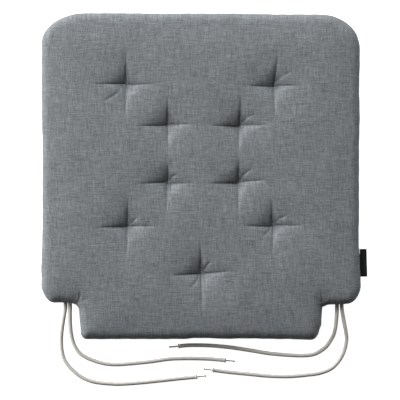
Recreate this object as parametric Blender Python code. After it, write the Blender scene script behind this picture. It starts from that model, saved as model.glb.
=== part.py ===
"""Tufted chair seat pad with notched rear corners and four cord ties.

Metres, +Z up. The origin is the centre of the face that the pad rests on. +Y is the front edge of
the seat, -Y the notched rear edge that the ties leave from, and +X the sitter's right.
"""

import bmesh
import bpy
import numpy as np
from mathutils import Vector

# Driving dimensions of the pad
HALF_WIDTH = 0.200
FRONT_Y = 0.204
SHOULDER_Y = -0.160
REAR_Y = -0.2055
TONGUE_HALF_ROOT = 0.1530
TONGUE_HALF_END = 0.1500
FRONT_RADIUS = 0.042
SHOULDER_RADIUS = 0.018
NOTCH_RADIUS = 0.009
TONGUE_RADIUS = 0.008
THICKNESS = 0.024
EDGE_ROLL = 0.018
SEAM_Z = 0.010
RIM_TOP = 0.018
CROWN_INSET = 0.036
ARC_STEPS = 5
ROLL_STEPS = 3

# Layers, from the outside in
GAP = 0.0003
COVER = 0.001
FOAM_INSET = 0.011
FOAM_CHAMFER = 0.001
FOAM_BOTTOM = 0.0040
FOAM_EDGE_TOP = 0.0145
FOAM_TOP = 0.0185
PINCHED_WADDING = 0.0015

# Seam: two turned-in allowances with the stitching between them
ALLOWANCE = 0.010
SEAM_GAP = 0.00015
THREAD_INSET = 0.003
THREAD_WIDTH = 0.0006
THREAD_HEIGHT = 0.0005

# Tufts: each is pulled down into a cone with a small flat floor
TUFTS = (
    (-0.0939, 0.1153), (0.0928, 0.1133), (-0.0414, 0.0637), (0.0489, 0.0631), (-0.0418, -0.0092),
    (0.0473, -0.0083), (-0.0920, -0.0639), (0.0904, -0.0631), (0.0005, -0.1234),
)
TUFT_FLOOR_RADIUS = 0.0038
TOP_TUFT_RADIUS = 0.028
TOP_TUFT_DEPTH = 0.0105
BOTTOM_TUFT_RADIUS = 0.013
BOTTOM_TUFT_DEPTH = 0.003
TUFT_BRIM = 0.004
TUFT_HOLLOW_SHARE = (0.35, 0.5)
TWINE_RADIUS = 0.0007
COVER_HOLE_RADIUS = 0.0011
CHANNEL_RADIUS = 0.0015
STITCH = (0.0060, 0.0012, 0.0012)
KNOT_RADIUS = 0.0025
KNOT_HEIGHT = 0.0018

# Ties: round braided cord, two strands to a side, sewn into the shoulder seams
CORD_RADIUS = 0.0025
CORD_Z = SEAM_Z - THREAD_HEIGHT / 2 - GAP - CORD_RADIUS
CORD_REST_Z = CORD_RADIUS + 0.0001
CORD_ROOT_Y = SHOULDER_Y + 0.0103
CORD_POINT_SPACING = 0.0125
COLLAR_RADIUS = 0.0030
COLLAR_LENGTH = 0.0022
CORE_RADIUS = 0.0009
CORE_LENGTH = 0.0115
BEAD_RADIUS = 0.0012
TACK_Y = (SHOULDER_Y + 0.0077, SHOULDER_Y + 0.0092)
TACK_WIRE = 0.0008
TACK_ROOM = CORD_RADIUS + 2 * GAP + TACK_WIRE

# Side label: a folded tab that bends at the seam it is sewn into
LABEL_Y = (-0.1270, -0.0920)
LABEL_THICKNESS = 0.0007
LABEL_Z = SEAM_Z + THREAD_HEIGHT / 2 + GAP + LABEL_THICKNESS / 2
LABEL_HINGE_X = HALF_WIDTH + 0.0010
LABEL_TIP_X = HALF_WIDTH + 0.0098
LABEL_TAIL_X = (HALF_WIDTH - 0.0085, HALF_WIDTH + 0.0003)

# Each route: points (x, y, z) of the cord's centre line from the seam to the collar
ROUTES = {
    "tie_left_outer": (
        (-0.1706, CORD_ROOT_Y, CORD_Z), (-0.1706, -0.1605, CORD_Z), (-0.1710, -0.1680, 0.0067),
        (-0.1723, -0.1755, 0.0061), (-0.1737, -0.1835, 0.0052), (-0.1750, -0.1918, 0.0042),
        (-0.1762, -0.2019, 0.0031), (-0.1764, -0.2120, CORD_REST_Z),
        (-0.1753, -0.2221, CORD_REST_Z), (-0.1721, -0.2322, CORD_REST_Z),
        (-0.1649, -0.2423, CORD_REST_Z), (-0.1522, -0.2530, CORD_REST_Z),
        (-0.1396, -0.2588, CORD_REST_Z), (-0.1270, -0.2614, CORD_REST_Z),
        (-0.1143, -0.2625, CORD_REST_Z), (-0.1017, -0.2629, CORD_REST_Z),
        (-0.0765, -0.2612, CORD_REST_Z), (-0.0512, -0.2586, CORD_REST_Z),
        (-0.0260, -0.2559, CORD_REST_Z), (-0.0066, -0.2540, CORD_REST_Z),
    ),
    "tie_left_inner": (
        (-0.1650, CORD_ROOT_Y, CORD_Z), (-0.1650, -0.1605, CORD_Z), (-0.1649, -0.1680, 0.0067),
        (-0.1651, -0.1755, 0.0061), (-0.1650, -0.1835, 0.0052), (-0.1646, -0.1918, 0.0042),
        (-0.1633, -0.2019, 0.0031), (-0.1605, -0.2120, CORD_REST_Z),
        (-0.1546, -0.2221, CORD_REST_Z), (-0.1459, -0.2286, CORD_REST_Z),
        (-0.1333, -0.2339, CORD_REST_Z), (-0.1206, -0.2371, CORD_REST_Z),
        (-0.1080, -0.2382, CORD_REST_Z), (-0.0891, -0.2371, CORD_REST_Z),
        (-0.0639, -0.2346, CORD_REST_Z), (-0.0386, -0.2312, CORD_REST_Z),
        (-0.0134, -0.2305, CORD_REST_Z), (0.0119, -0.2312, CORD_REST_Z),
        (0.0295, -0.2328, CORD_REST_Z),
    ),
    "tie_right_inner": (
        (0.1722, CORD_ROOT_Y, CORD_Z), (0.1722, -0.1605, CORD_Z), (0.1722, -0.1680, 0.0067),
        (0.1719, -0.1755, 0.0061), (0.1713, -0.1835, 0.0052), (0.1702, -0.1918, 0.0042),
        (0.1679, -0.2010, 0.0031), (0.1632, -0.2095, CORD_REST_Z),
        (0.1572, -0.2171, CORD_REST_Z), (0.1450, -0.2246, CORD_REST_Z),
        (0.1318, -0.2268, CORD_REST_Z), (0.1128, -0.2264, CORD_REST_Z),
        (0.0876, -0.2243, CORD_REST_Z), (0.0623, -0.2203, CORD_REST_Z),
        (0.0371, -0.2166, CORD_REST_Z), (0.0119, -0.2143, CORD_REST_Z),
        (-0.0134, -0.2139, CORD_REST_Z), (-0.0260, -0.2149, CORD_REST_Z),
    ),
    "tie_right_outer": (
        (0.1780, CORD_ROOT_Y, CORD_Z), (0.1780, -0.1605, CORD_Z), (0.1784, -0.1680, 0.0067),
        (0.1796, -0.1755, 0.0061), (0.1811, -0.1835, 0.0052), (0.1827, -0.1918, 0.0042),
        (0.1840, -0.2000, 0.0031), (0.1844, -0.2070, CORD_REST_Z),
        (0.1826, -0.2171, CORD_REST_Z), (0.1788, -0.2272, CORD_REST_Z),
        (0.1721, -0.2370, CORD_REST_Z), (0.1633, -0.2444, CORD_REST_Z),
        (0.1507, -0.2490, CORD_REST_Z), (0.1381, -0.2510, CORD_REST_Z),
        (0.1128, -0.2532, CORD_REST_Z), (0.0876, -0.2528, CORD_REST_Z),
        (0.0623, -0.2505, CORD_REST_Z), (0.0371, -0.2480, CORD_REST_Z),
        (0.0174, -0.2456, CORD_REST_Z),
    ),
}

SLATE_WEAVE = ("slate_weave", (0.175, 0.191, 0.202), 0.85)
GREY_THREAD = ("grey_thread", (0.120, 0.125, 0.130), 0.80)
WHITE_FIBRE = ("white_fibre", (0.800, 0.800, 0.780), 0.95)
CREAM_FOAM = ("cream_foam", (0.720, 0.680, 0.520), 0.90)
CORD_BRAID = ("cord_braid", (0.480, 0.460, 0.420), 0.80)
CORD_CORE = ("cord_core", (0.360, 0.350, 0.320), 0.80)
CORD_COLLAR = ("cord_collar", (0.330, 0.320, 0.300), 0.55)
BLACK_TAPE = ("black_tape", (0.020, 0.020, 0.022), 0.70)


def material(look):
    name, colour, roughness = look
    found = bpy.data.materials.get(name)
    if found:
        return found
    made = bpy.data.materials.new(name)
    made.use_nodes = True
    shader = made.node_tree.nodes["Principled BSDF"]
    shader.inputs["Base Color"].default_value = (*colour, 1.0)
    shader.inputs["Roughness"].default_value = roughness
    shader.inputs["Metallic"].default_value = 0.0
    return made


def add_object(name, bm, look=None, smooth=False):
    """Puts a bmesh in the scene as an object, or as a hidden cutter if it has no look."""
    bmesh.ops.recalc_face_normals(bm, faces=bm.faces)
    mesh = bpy.data.meshes.new(name)
    bm.to_mesh(mesh)
    bm.free()
    made = bpy.data.objects.new(name, mesh)
    bpy.context.scene.collection.objects.link(made)
    if look:
        mesh.materials.append(material(look))
    else:
        made.hide_render = True
        made.display_type = "WIRE"
    if smooth:
        mesh.shade_smooth()
        mesh.set_sharp_from_angle(angle=0.7)
    return made


def cut(target, cutter, operation="DIFFERENCE"):
    step = target.modifiers.new(cutter.name, "BOOLEAN")
    step.operation = operation
    step.solver = "EXACT"
    step.object = cutter


def box(name, low, high, look=None):
    bm = bmesh.new()
    bmesh.ops.create_cube(bm, size=1.0)
    low, high = Vector(low), Vector(high)
    for vert in bm.verts:
        vert.co = [low[i] + (vert.co[i] + 0.5) * (high[i] - low[i]) for i in range(3)]
    return add_object(name, bm, look)


def outline_corners():
    """The plan's corners, counter-clockwise: x, y, radius, and +1 for a convex or -1 for a hollow one."""
    right = (
        (TONGUE_HALF_END, REAR_Y, TONGUE_RADIUS, 1),
        (TONGUE_HALF_ROOT, SHOULDER_Y, NOTCH_RADIUS, -1),
        (HALF_WIDTH, SHOULDER_Y, SHOULDER_RADIUS, 1),
        (HALF_WIDTH, FRONT_Y, FRONT_RADIUS, 1),
    )
    left = tuple((-x, y, radius, turn) for x, y, radius, turn in reversed(right))
    return right + left


def plan_outline(inset):
    """The pad's outline in plan, moved in by inset, with every corner as an arc of equal point count."""
    corners = outline_corners()
    spots = [Vector(corner[:2]) for corner in corners]
    count = len(corners)
    ways = [(spots[(i + 1) % count] - spots[i]).normalized() for i in range(count)]
    points = []
    for i, (_, _, radius, turn) in enumerate(corners):
        arriving, leaving = ways[i - 1], ways[i]
        normal_in = Vector((-arriving.y, arriving.x))
        normal_out = Vector((-leaving.y, leaving.x))
        spread = 1 + normal_in.dot(normal_out)
        corner = spots[i] + (normal_in + normal_out) * inset / spread
        radius = max(radius - turn * inset, 0.0006)
        half_turn = arriving.angle(leaving) / 2
        reach = radius * np.tan(half_turn)
        start = corner - arriving * reach
        centre = start + normal_in * radius * turn
        spoke = start - centre
        for step in range(ARC_STEPS + 1):
            angle = turn * 2 * half_turn * step / ARC_STEPS
            c, s = np.cos(angle), np.sin(angle)
            points.append(centre + Vector((c * spoke.x - s * spoke.y, s * spoke.x + c * spoke.y)))
    return points


def lofted(name, rings, look=None, smooth=False):
    """A closed solid through rings of (inset, z), with flat ends."""
    bm = bmesh.new()
    loops = [[bm.verts.new((p.x, p.y, z)) for p in plan_outline(inset)] for inset, z in rings]
    for below, above in zip(loops, loops[1:]):
        for i in range(len(below)):
            bm.faces.new((below[i - 1], below[i], above[i], above[i - 1]))
    bm.faces.new(loops[0][::-1])
    bm.faces.new(loops[-1])
    return add_object(name, bm, look, smooth)


def band(name, inset_out, inset_in, low, high, look=None):
    """A closed ring of rectangular section that follows the outline."""
    bm = bmesh.new()
    section = ((inset_out, low), (inset_out, high), (inset_in, high), (inset_in, low))
    loops = [[bm.verts.new((p.x, p.y, z)) for p in plan_outline(inset)] for inset, z in section]
    for loop, after in zip(loops, loops[1:] + loops[:1]):
        for i in range(len(loop)):
            bm.faces.new((loop[i - 1], loop[i], after[i], after[i - 1]))
    return add_object(name, bm, look)


def turned(name, profile, place, look=None, segments=8):
    """A solid of revolution about Z from (radius, z) points listed from its bottom to its top."""
    bm = bmesh.new()
    turns = [2 * np.pi * i / segments for i in range(segments)]
    loops = []
    for radius, z in profile:
        spots = [(place[0] + radius * np.cos(a), place[1] + radius * np.sin(a), z) for a in turns]
        loops.append([bm.verts.new(spot) for spot in spots])
    for below, above in zip(loops, loops[1:]):
        for i in range(segments):
            bm.faces.new((below[i - 1], below[i], above[i], above[i - 1]))
    bm.faces.new(loops[0][::-1])
    bm.faces.new(loops[-1])
    return add_object(name, bm, look, smooth=look is not None)


def pad_form(name, shrink, look=None):
    """The whole pad, shrink smaller on every side: edges rolled round the seam, then the crown."""
    roll = EDGE_ROLL - shrink
    rings = []
    for step in range(-ROLL_STEPS, ROLL_STEPS + 1):
        angle = np.pi / 2 * step / ROLL_STEPS
        rise = (SEAM_Z if step < 0 else RIM_TOP - SEAM_Z) - shrink
        rings.append((shrink + roll * (1 - np.cos(angle)), SEAM_Z + rise * np.sin(angle)))
    rings.append((CROWN_INSET, THICKNESS - shrink))
    return lofted(name, rings, look, smooth=look is not None)


def tuft_cone(name, place, pinch, side):
    """A cutter for one tuft's hollow, pinch deeper than the pad's own; side is +1 on top, -1 below."""
    radius = TOP_TUFT_RADIUS if side > 0 else BOTTOM_TUFT_RADIUS
    depth = TOP_TUFT_DEPTH if side > 0 else BOTTOM_TUFT_DEPTH
    surface = THICKNESS if side > 0 else 0.0
    slope = (radius - TUFT_FLOOR_RADIUS) / depth
    floor_z = surface - side * (depth + pinch)
    height = depth + pinch + TUFT_BRIM
    out_share, up_share = TUFT_HOLLOW_SHARE
    middle = TUFT_FLOOR_RADIUS + slope * out_share * height
    brim = TUFT_FLOOR_RADIUS + slope * height
    profile = [(TUFT_FLOOR_RADIUS, floor_z), (middle, floor_z + side * up_share * height),
               (brim, floor_z + side * height)]
    return turned(name, profile if side > 0 else profile[::-1], place, segments=10)


def cut_tufts(target, pinch, hole_radius):
    """Pulls every tuft into a layer, and opens the hole that its twine runs through."""
    for i, place in enumerate(TUFTS):
        for side in (1, -1):
            cut(target, tuft_cone(f"{target.name}_tuft_{i}_{side}", place, pinch, side))
        if hole_radius:
            profile = [(hole_radius, -TUFT_BRIM), (hole_radius, THICKNESS + TUFT_BRIM)]
            cut(target, turned(f"{target.name}_hole_{i}", profile, place, segments=6))


def keep_side(target, z, side):
    """Keeps what is above z, or below it where side is -1."""
    wide, tall = 2 * HALF_WIDTH, 2 * THICKNESS
    low, high = (z - tall, z) if side > 0 else (z, z + tall)
    cut(target, box(f"{target.name}_half", (-wide, -wide, low), (wide, wide, high)))


def strand_pair(side):
    """The x of a side's two strands where they leave the seam, lowest first."""
    names = ("tie_left_outer", "tie_left_inner") if side < 0 else ("tie_right_inner", "tie_right_outer")
    return [ROUTES[name][0][0] for name in names]


def cut_tie_room(target, side):
    """Opens the lower layers round one side's strands and round the bar tack that holds them."""
    low_x, high_x = strand_pair(side)
    room = CORD_RADIUS + GAP
    mouth_low = (low_x - room, SHOULDER_Y - ALLOWANCE, CORD_Z - room)
    mouth_high = (high_x + room, CORD_ROOT_Y + 2 * GAP, SEAM_Z)
    cut(target, box(f"{target.name}_mouth_{side}", mouth_low, mouth_high))
    reach = TACK_ROOM + GAP
    bar_low = (low_x - reach, TACK_Y[0] - GAP, CORD_Z - reach)
    bar_high = (high_x + reach, TACK_Y[1] + GAP, SEAM_Z + COVER)
    cut(target, box(f"{target.name}_tack_{side}", bar_low, bar_high))


def cut_tack_slots(target, side):
    """Two slots through the upper allowance for the legs of one side's bar tack."""
    low_x, high_x = strand_pair(side)
    room = CORD_RADIUS + GAP
    for label, inner, out in (("low", low_x - room, -1), ("high", high_x + room, 1)):
        edges = sorted((inner - out * GAP, inner + out * (TACK_WIRE + GAP)))
        low = (edges[0], TACK_Y[0] - GAP, SEAM_Z - COVER)
        high = (edges[1], TACK_Y[1] + GAP, SEAM_Z + 4 * COVER)
        cut(target, box(f"{target.name}_slot_{label}_{side}", low, high))


def cut_tack_head(target, side):
    """Room over the upper allowance for the part of a bar tack that crosses both strands."""
    low_x, high_x = strand_pair(side)
    bottom = SEAM_Z + SEAM_GAP + COVER
    low = (low_x - TACK_ROOM, TACK_Y[0] - GAP, bottom)
    high = (high_x + TACK_ROOM, TACK_Y[1] + GAP, bottom + TACK_WIRE + 2 * GAP)
    cut(target, box(f"{target.name}_head_{side}", low, high))


def cut_label_room(target):
    low = (LABEL_TAIL_X[0] - GAP, LABEL_Y[0] - GAP, LABEL_Z - LABEL_THICKNESS / 2 - GAP)
    high = (LABEL_TAIL_X[1] + 0.01, LABEL_Y[1] + GAP, LABEL_Z + LABEL_THICKNESS / 2 + GAP)
    cut(target, box(f"{target.name}_label", low, high))


def make_cover(name, side):
    """One fabric shell: the pad's skin on one side of the seam, with its allowance turned in."""
    cover = pad_form(name, 0.0, SLATE_WEAVE)
    cut_tufts(cover, 0.0, COVER_HOLE_RADIUS)
    inside = pad_form(f"{name}_inside", COVER)
    inside.hide_render, inside.display_type = True, "WIRE"
    cut_tufts(inside, COVER, 0.0)
    flange = SEAM_GAP + COVER
    cut(inside, band(f"{name}_allowance", -0.002, ALLOWANCE, SEAM_Z - flange, SEAM_Z + flange))
    cut(cover, inside)
    keep_side(cover, SEAM_Z + side * SEAM_GAP, side)
    groove = THREAD_HEIGHT / 2 + GAP
    inner = THREAD_INSET + THREAD_WIDTH + GAP
    cut(cover, band(f"{name}_groove", THREAD_INSET - GAP, inner, SEAM_Z - groove, SEAM_Z + groove))
    for tie_side in (-1, 1):
        if side > 0:
            cut_tack_slots(cover, tie_side)
        else:
            cut_tie_room(cover, tie_side)
    if side > 0:
        cut_label_room(cover)


def make_wadding(name, side):
    """Fibre wadding between one cover and the foam, pinched thin at the tufts."""
    wadding = pad_form(name, COVER + GAP, WHITE_FIBRE)
    cut_tufts(wadding, COVER + GAP, CHANNEL_RADIUS)
    foam_room = lofted(f"{name}_foam_room", foam_rings(GAP))
    cut_tufts(foam_room, COVER + GAP + PINCHED_WADDING, 0.0)
    cut(wadding, foam_room)
    clear = SEAM_GAP + COVER + GAP
    keep_side(wadding, SEAM_Z + side * clear, side)
    for tie_side in (-1, 1):
        if side > 0:
            cut_tack_slots(wadding, tie_side)
            cut_tack_head(wadding, tie_side)
        else:
            cut_tie_room(wadding, tie_side)
    if side > 0:
        cut_label_room(wadding)


def foam_rings(grow):
    """The foam slab's section as (inset, z), grow larger on every side: flat below, crowned on top."""
    return [
        (FOAM_INSET + FOAM_CHAMFER - grow, FOAM_BOTTOM - grow),
        (FOAM_INSET - grow, FOAM_BOTTOM + FOAM_CHAMFER - grow),
        (FOAM_INSET - grow, FOAM_EDGE_TOP - FOAM_CHAMFER + grow),
        (FOAM_INSET + FOAM_CHAMFER - grow, FOAM_EDGE_TOP + grow),
        (CROWN_INSET - grow, FOAM_TOP + grow),
    ]


def make_foam():
    foam = lofted("foam_core", foam_rings(0.0), CREAM_FOAM)
    cut_tufts(foam, COVER + 2 * GAP + PINCHED_WADDING, CHANNEL_RADIUS)


def make_seam_thread():
    half = THREAD_HEIGHT / 2
    inner = THREAD_INSET + THREAD_WIDTH
    band("edge_seam_thread", THREAD_INSET, inner, SEAM_Z - half, SEAM_Z + half, GREY_THREAD)


def make_tuft_twine(number, place):
    """One tuft's twine: a knot below, a stem through the pad and a stitch across the top."""
    floor_top = THICKNESS - TOP_TUFT_DEPTH
    knot_top = BOTTOM_TUFT_DEPTH - GAP
    profile = [
        (KNOT_RADIUS * 0.6, knot_top - KNOT_HEIGHT), (KNOT_RADIUS, knot_top - KNOT_HEIGHT * 0.6),
        (KNOT_RADIUS * 0.8, knot_top), (TWINE_RADIUS, knot_top),
        (TWINE_RADIUS, floor_top + GAP + STITCH[2] * 0.6),
    ]
    twine = turned(f"tuft_twine_{number}", profile, place, GREY_THREAD)
    low = (place[0] - STITCH[0] / 2, place[1] - STITCH[1] / 2, floor_top + GAP)
    high = (place[0] + STITCH[0] / 2, place[1] + STITCH[1] / 2, floor_top + GAP + STITCH[2])
    cut(twine, box(f"tuft_twine_{number}_bar", low, high), "UNION")


def smooth_route(points, spacing):
    """Points about spacing apart on the smooth curve through a route's points."""
    route = np.array([points[0], *points, points[-1]], float)
    route[0] = 2 * route[1] - route[2]
    route[-1] = 2 * route[-2] - route[-3]
    fine = []
    for a, b, c, d in zip(route, route[1:], route[2:], route[3:]):
        for t in np.linspace(0, 1, 12, endpoint=False):
            ramp = 2 * b + (c - a) * t + (2 * a - 5 * b + 4 * c - d) * t**2
            fine.append((ramp + (3 * b - a - 3 * c + d) * t**3) / 2)
    fine = np.array([*fine, route[-2]])
    fine[:, 2] = np.maximum(fine[:, 2], CORD_REST_Z)
    run = np.concatenate([[0], np.cumsum(np.linalg.norm(np.diff(fine, axis=0), axis=1))])
    stops = np.linspace(0, run[-1], int(round(run[-1] / spacing)) + 1)
    return np.stack([np.interp(stops, run, fine[:, axis]) for axis in range(3)], axis=1)


def tube(name, points, radius, look, rings=2):
    """A round tube along points, as a curve with a bevel and filled caps."""
    curve = bpy.data.curves.new(name, "CURVE")
    curve.dimensions = "3D"
    curve.bevel_depth = radius
    curve.bevel_resolution = rings
    curve.use_fill_caps = True
    spline = curve.splines.new("POLY")
    spline.points.add(len(points) - 1)
    for knot, spot in zip(spline.points, points):
        knot.co = (*spot, 1.0)
    curve.materials.append(material(look))
    made = bpy.data.objects.new(name, curve)
    bpy.context.scene.collection.objects.link(made)
    return made


def make_tie(name, route):
    """One strand of cord with the collar crimped on its end and the core that stands out of it."""
    points = smooth_route(route, CORD_POINT_SPACING)
    tube(name, points, CORD_RADIUS, CORD_BRAID)
    end = Vector(points[-1])
    way = (end - Vector(points[-2])).normalized()
    collar_profile = [
        (COLLAR_RADIUS * 0.85, 0.0), (COLLAR_RADIUS, COLLAR_LENGTH * 0.4),
        (COLLAR_RADIUS, COLLAR_LENGTH * 0.8), (COLLAR_RADIUS * 0.8, COLLAR_LENGTH),
    ]
    core_start = COLLAR_LENGTH + GAP
    core_profile = [
        (CORE_RADIUS, core_start), (CORE_RADIUS, core_start + CORE_LENGTH - 2 * BEAD_RADIUS),
        (BEAD_RADIUS, core_start + CORE_LENGTH - 1.3 * BEAD_RADIUS),
        (BEAD_RADIUS, core_start + CORE_LENGTH - 0.7 * BEAD_RADIUS),
        (BEAD_RADIUS * 0.5, core_start + CORE_LENGTH),
    ]
    seat = end + way * GAP
    seat.z = COLLAR_RADIUS + 0.0001
    turn = way.to_track_quat("Z", "Y")
    for piece, profile, look in (
        ("collar", collar_profile, CORD_COLLAR), ("core", core_profile, CORD_CORE),
    ):
        made = turned(name.replace("tie", f"tie_{piece}"), profile, (0, 0), look)
        made.rotation_mode = "QUATERNION"
        made.rotation_quaternion = turn
        made.location = seat


def make_bar_tack(name, side):
    """Bar-tack stitches as one loop round both strands and the upper seam allowance."""
    low_x, high_x = strand_pair(side)
    room = CORD_RADIUS + GAP
    top = SEAM_Z + SEAM_GAP + COVER + GAP
    low = (low_x - room - TACK_WIRE, TACK_Y[0], CORD_Z - room - TACK_WIRE)
    high = (high_x + room + TACK_WIRE, TACK_Y[1], top + TACK_WIRE)
    tack = box(name, low, high, GREY_THREAD)
    hole_low = (low_x - room, TACK_Y[0] - GAP, CORD_Z - room)
    hole_high = (high_x + room, TACK_Y[1] + GAP, top)
    cut(tack, box(f"{name}_hole", hole_low, hole_high))


def make_label():
    """The label's sewn-in tail, and its tab, whose root is rounded about the fold's axis."""
    half = LABEL_THICKNESS / 2
    low = (LABEL_TAIL_X[0], LABEL_Y[0], LABEL_Z - half)
    box("label_tail", low, (LABEL_TAIL_X[1], LABEL_Y[1], LABEL_Z + half), BLACK_TAPE)
    reach = LABEL_TIP_X - LABEL_HINGE_X
    profile = [(reach, -half), (reach, half)]
    angles = np.linspace(np.pi / 2, 3 * np.pi / 2, 5)
    profile += [(half * np.cos(a), half * np.sin(a)) for a in angles]
    bm = bmesh.new()
    ends = [[bm.verts.new((x, y, z)) for x, z in profile] for y in LABEL_Y]
    for i in range(len(profile)):
        bm.faces.new((ends[0][i - 1], ends[0][i], ends[1][i], ends[1][i - 1]))
    bm.faces.new(ends[0])
    bm.faces.new(ends[1][::-1])
    tab = add_object("side_label", bm, BLACK_TAPE)
    tab.location = (LABEL_HINGE_X, 0, LABEL_Z)


def main():
    for old in list(bpy.data.objects):
        bpy.data.objects.remove(old)
    make_cover("top_cover", 1)
    make_cover("bottom_cover", -1)
    make_wadding("wadding_top", 1)
    make_wadding("wadding_bottom", -1)
    make_foam()
    make_seam_thread()
    for number, place in enumerate(TUFTS, 1):
        make_tuft_twine(number, place)
    for name, route in ROUTES.items():
        make_tie(name, route)
    make_bar_tack("tie_tack_left", -1)
    make_bar_tack("tie_tack_right", 1)
    make_label()


main()
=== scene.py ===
"""Looks of the tufted chair seat pad: woven covers, braided ties, a tape label and the studio."""

import math

import bmesh
import bpy
import numpy as np
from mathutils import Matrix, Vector, noise
from mathutils.kdtree import KDTree


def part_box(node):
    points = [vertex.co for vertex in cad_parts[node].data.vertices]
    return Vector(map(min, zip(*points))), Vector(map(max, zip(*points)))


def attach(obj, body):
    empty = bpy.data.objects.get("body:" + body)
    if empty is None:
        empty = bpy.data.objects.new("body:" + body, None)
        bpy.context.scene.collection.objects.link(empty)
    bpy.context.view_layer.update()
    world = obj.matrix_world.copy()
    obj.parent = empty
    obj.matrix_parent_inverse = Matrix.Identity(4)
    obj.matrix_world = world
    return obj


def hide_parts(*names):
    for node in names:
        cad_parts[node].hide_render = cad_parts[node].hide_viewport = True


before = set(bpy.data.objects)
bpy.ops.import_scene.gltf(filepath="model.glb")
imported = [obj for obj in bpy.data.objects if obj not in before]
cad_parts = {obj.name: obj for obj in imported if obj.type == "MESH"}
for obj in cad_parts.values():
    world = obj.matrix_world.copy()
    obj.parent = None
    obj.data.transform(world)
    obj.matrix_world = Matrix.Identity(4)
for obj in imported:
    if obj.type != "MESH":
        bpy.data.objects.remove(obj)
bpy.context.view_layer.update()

# The pad's size, seam and tufts, read from the CAD parts
COVER_LOW, COVER_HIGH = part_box("top_cover")
HALF_WIDTH = COVER_HIGH[0]
FRONT_Y, REAR_Y = COVER_HIGH[1], COVER_LOW[1]
SEAM_Z = sum(corner[2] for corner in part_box("edge_seam_thread")) / 2
TUFTS = [tuple((np.array(low) + np.array(high))[:2] / 2) for low, high in
         (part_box(f"tuft_twine_{number}") for number in range(1, 10))]

# The plan's corners: each is a quarter of an ellipse, (reach along X, reach along Y), left and right
SHOULDER_Y = -0.160
TONGUE_HALF = 0.1530
FRONT_CORNERS = ((0.056, 0.0355), (0.0485, 0.042))
SHOULDER_CORNERS = ((0.0165, 0.025), (0.0165, 0.0235))
NOTCH_CORNERS = ((0.0150, 0.0100), (0.0100, 0.0085))
TONGUE_CORNERS = ((0.0075, 0.0090), (0.0110, 0.0110))

# How far the sewn edges wander outwards from straight, as (place along the edge, push) in
# millimetres
LEFT_WANDER = ((-160, 1.2), (-135, 1.2), (-115, 1.4), (-90, 0.3), (-70, -0.1), (0, -0.2), (45, -0.3),
               (70, 0.6), (150, 0.7))
RIGHT_WANDER = ((-160, 1.9), (-137, 2.4), (-110, 1.2), (-80, -0.3), (-40, 0.1), (30, 0.1), (75, 0.9),
                (110, 0.3), (150, 1.0))
FRONT_WANDER = ((-130, 1.8), (-85, 1.5), (-45, 0.9), (-10, 1.3), (30, 1.3), (70, 0.7), (100, 0.2),
                (150, 0.0))
REAR_WANDER = ((-150, 0.3), (-125, 0.5), (-60, 0.4), (-20, 0.4), (-5, -0.9), (12, -0.8), (30, 0.1),
               (60, -0.2), (110, 0.4), (135, 1.5), (150, 1.0))
SHOULDER_WANDER = ((-200, -0.3), (-160, 0.0), (150, 2.2), (168, 2.2), (185, 1.4), (200, 1.2))
TONGUE_LEFT_WANDER = ((-206, -1.8), (-196, -1.4), (-180, -0.3), (-168, 0.4))
TONGUE_RIGHT_WANDER = ((-206, -5.0), (-196, -3.4), (-186, -0.4), (-168, 0.2))

# The rolled edge: how steep the cover is at each distance from the seam, as (millimetres, slope).
# The top cover's right edge falls off in a shorter distance
EDGE_ROLL = 0.018
EDGE_SLOPES = ((0.0, 4.8), (0.8, 2.7), (2.0, 1.35), (3.0, 1.00), (4.4, 0.74), (5.7, 0.55), (7.0, 0.41),
               (8.2, 0.31), (9.5, 0.23), (11.0, 0.165), (13.0, 0.115), (15.5, 0.08), (18.0, 0.058),
               (24.0, 0.034), (35.0, 0.018), (60.0, 0.014), (90.0, 0.006), (130.0, 0.0))
RIGHT_SHARPER = 0.5
PUCKER = 0.0003
CLOTH = 0.0008
SEAM_GAP = 0.0001
FLOOR_GAP = 0.0002
WADDING_GAP = 0.00005
WADDING_THIN = 0.0002
WADDING_WRAP = 0.0115
WADDING_INSET = 0.004

# The cover's grid
WIDEST = 0.0032
NARROWEST = 0.0004
NARROWEST_AT_SEAM = 0.00025
SEAM_SIDE = 0.0015
CREASE_STEP = 0.0006
CREASE_LINES = 8
CREASE_ROOM = 0.0036
CREASE_SIDE = 0.0011
ROLL_LINES = 9

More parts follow.
